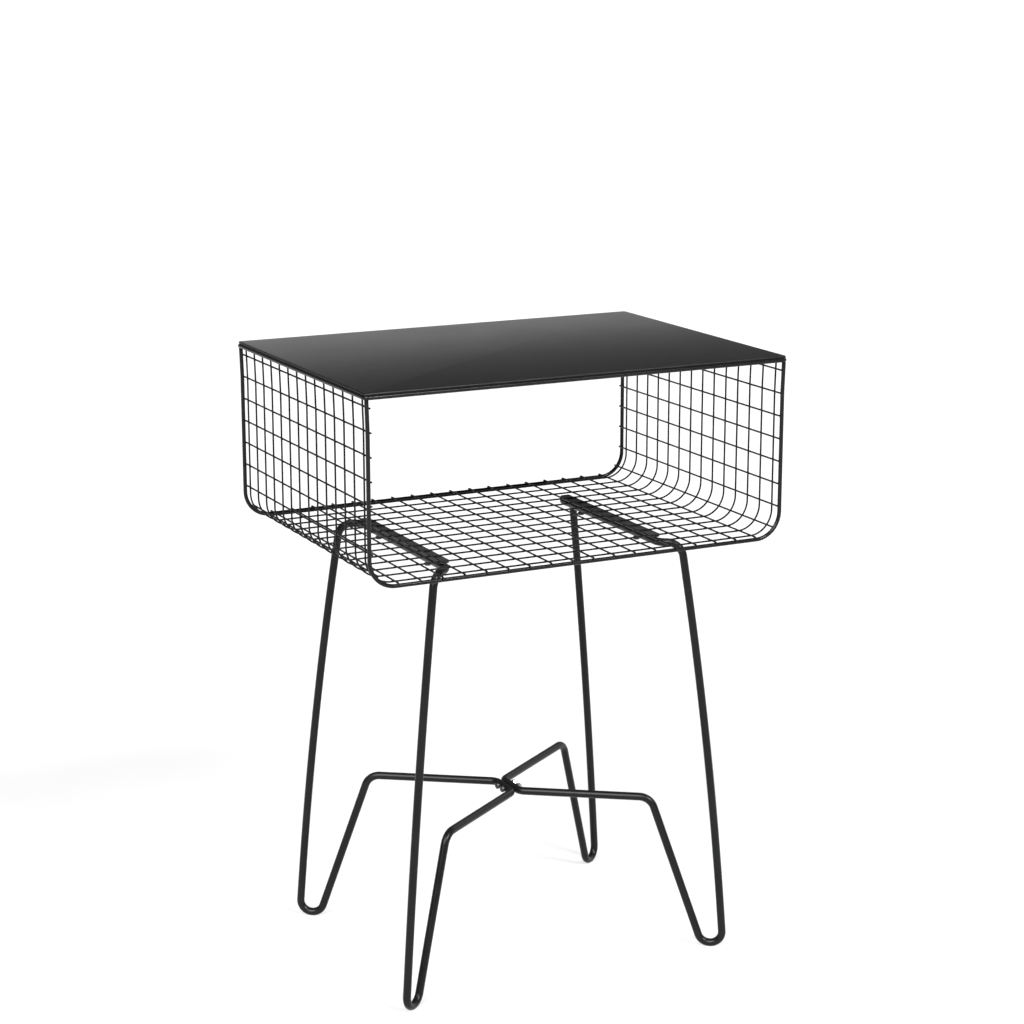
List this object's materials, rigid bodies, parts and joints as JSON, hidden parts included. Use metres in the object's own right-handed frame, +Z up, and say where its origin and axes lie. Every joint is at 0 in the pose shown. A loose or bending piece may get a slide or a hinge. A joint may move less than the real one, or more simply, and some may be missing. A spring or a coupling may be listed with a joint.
{
  "type": "wire side table",
  "caption": "Side table with a flat metal top, an open-ended wire mesh basket shelf below it and bent-rod hairpin legs with crossed stretchers.",
  "frame": {"origin": "on the floor under the middle of the table", "axes": "+Z up, X across the width with the two leg frames at -X and +X, Y through the basket's two open faces with the front at -Y"},
  "size_m": [0.505, 0.365, 0.6935],
  "materials": {
    "panel_coat": "satin black powder coat on sheet steel",
    "rod_coat": "satin black powder coat on steel rod",
    "wire_coat": "satin black powder coat on welded steel wire",
    "leg_coat": "satin black powder coat on bent steel rod",
    "plate_coat": "satin black powder coat on flat steel strip",
    "zinc_fastener": "bright zinc plating",
    "black_fastener": "black oxide"
  },
  "bodies": {
    "root": {"back_border_rod": "rod_coat", "centre_nuts": "zinc_fastener", "centre_screws": "black_fastener", "cross_wire_floor_01": "wire_coat", "cross_wire_floor_02": "wire_coat", "cross_wire_floor_03": "wire_coat", "cross_wire_floor_04": "wire_coat", "cross_wire_floor_05": "wire_coat", "cross_wire_floor_06": "wire_coat", "cross_wire_floor_07": "wire_coat", "cross_wire_floor_08": "wire_coat", "cross_wire_floor_09": "wire_coat", "cross_wire_floor_10": "wire_coat", "cross_wire_floor_11": "wire_coat", "cross_wire_floor_12": "wire_coat", "cross_wire_floor_13": "wire_coat", "cross_wire_floor_14": "wire_coat", "cross_wire_floor_15": "wire_coat", "cross_wire_floor_16": "wire_coat", "cross_wire_floor_17": "wire_coat", "cross_wire_floor_18": "wire_coat", "cross_wire_left_corner": "wire_coat", "cross_wire_left_wall_1": "wire_coat", "cross_wire_left_wall_2": "wire_coat", "cross_wire_left_wall_3": "wire_coat", "cross_wire_left_wall_4": "wire_coat", "cross_wire_left_wall_5": "wire_coat", "cross_wire_left_wall_6": "wire_coat", "cross_wire_left_wall_7": "wire_coat", "cross_wire_right_corner": "wire_coat", "cross_wire_right_wall_1": "wire_coat", "cross_wire_right_wall_2": "wire_coat", "cross_wire_right_wall_3": "wire_coat", "cross_wire_right_wall_4": "wire_coat", "cross_wire_right_wall_5": "wire_coat", "cross_wire_right_wall_6": "wire_coat", "cross_wire_right_wall_7": "wire_coat", "front_border_rod": "rod_coat", "left_leg_frame": "leg_coat", "left_mounting_plate": "plate_coat", "plate_screws": "black_fastener", "right_leg_frame": "leg_coat", "right_mounting_plate": "plate_coat", "top_frame_rod": "rod_coat", "top_panel": "panel_coat", "u_wire_01": "wire_coat", "u_wire_02": "wire_coat", "u_wire_03": "wire_coat", "u_wire_04": "wire_coat", "u_wire_05": "wire_coat", "u_wire_06": "wire_coat", "u_wire_07": "wire_coat", "u_wire_08": "wire_coat", "u_wire_09": "wire_coat", "u_wire_10": "wire_coat", "u_wire_11": "wire_coat", "u_wire_12": "wire_coat", "u_wire_13": "wire_coat", "u_wire_14": "wire_coat"}
  },
  "joints": []
}
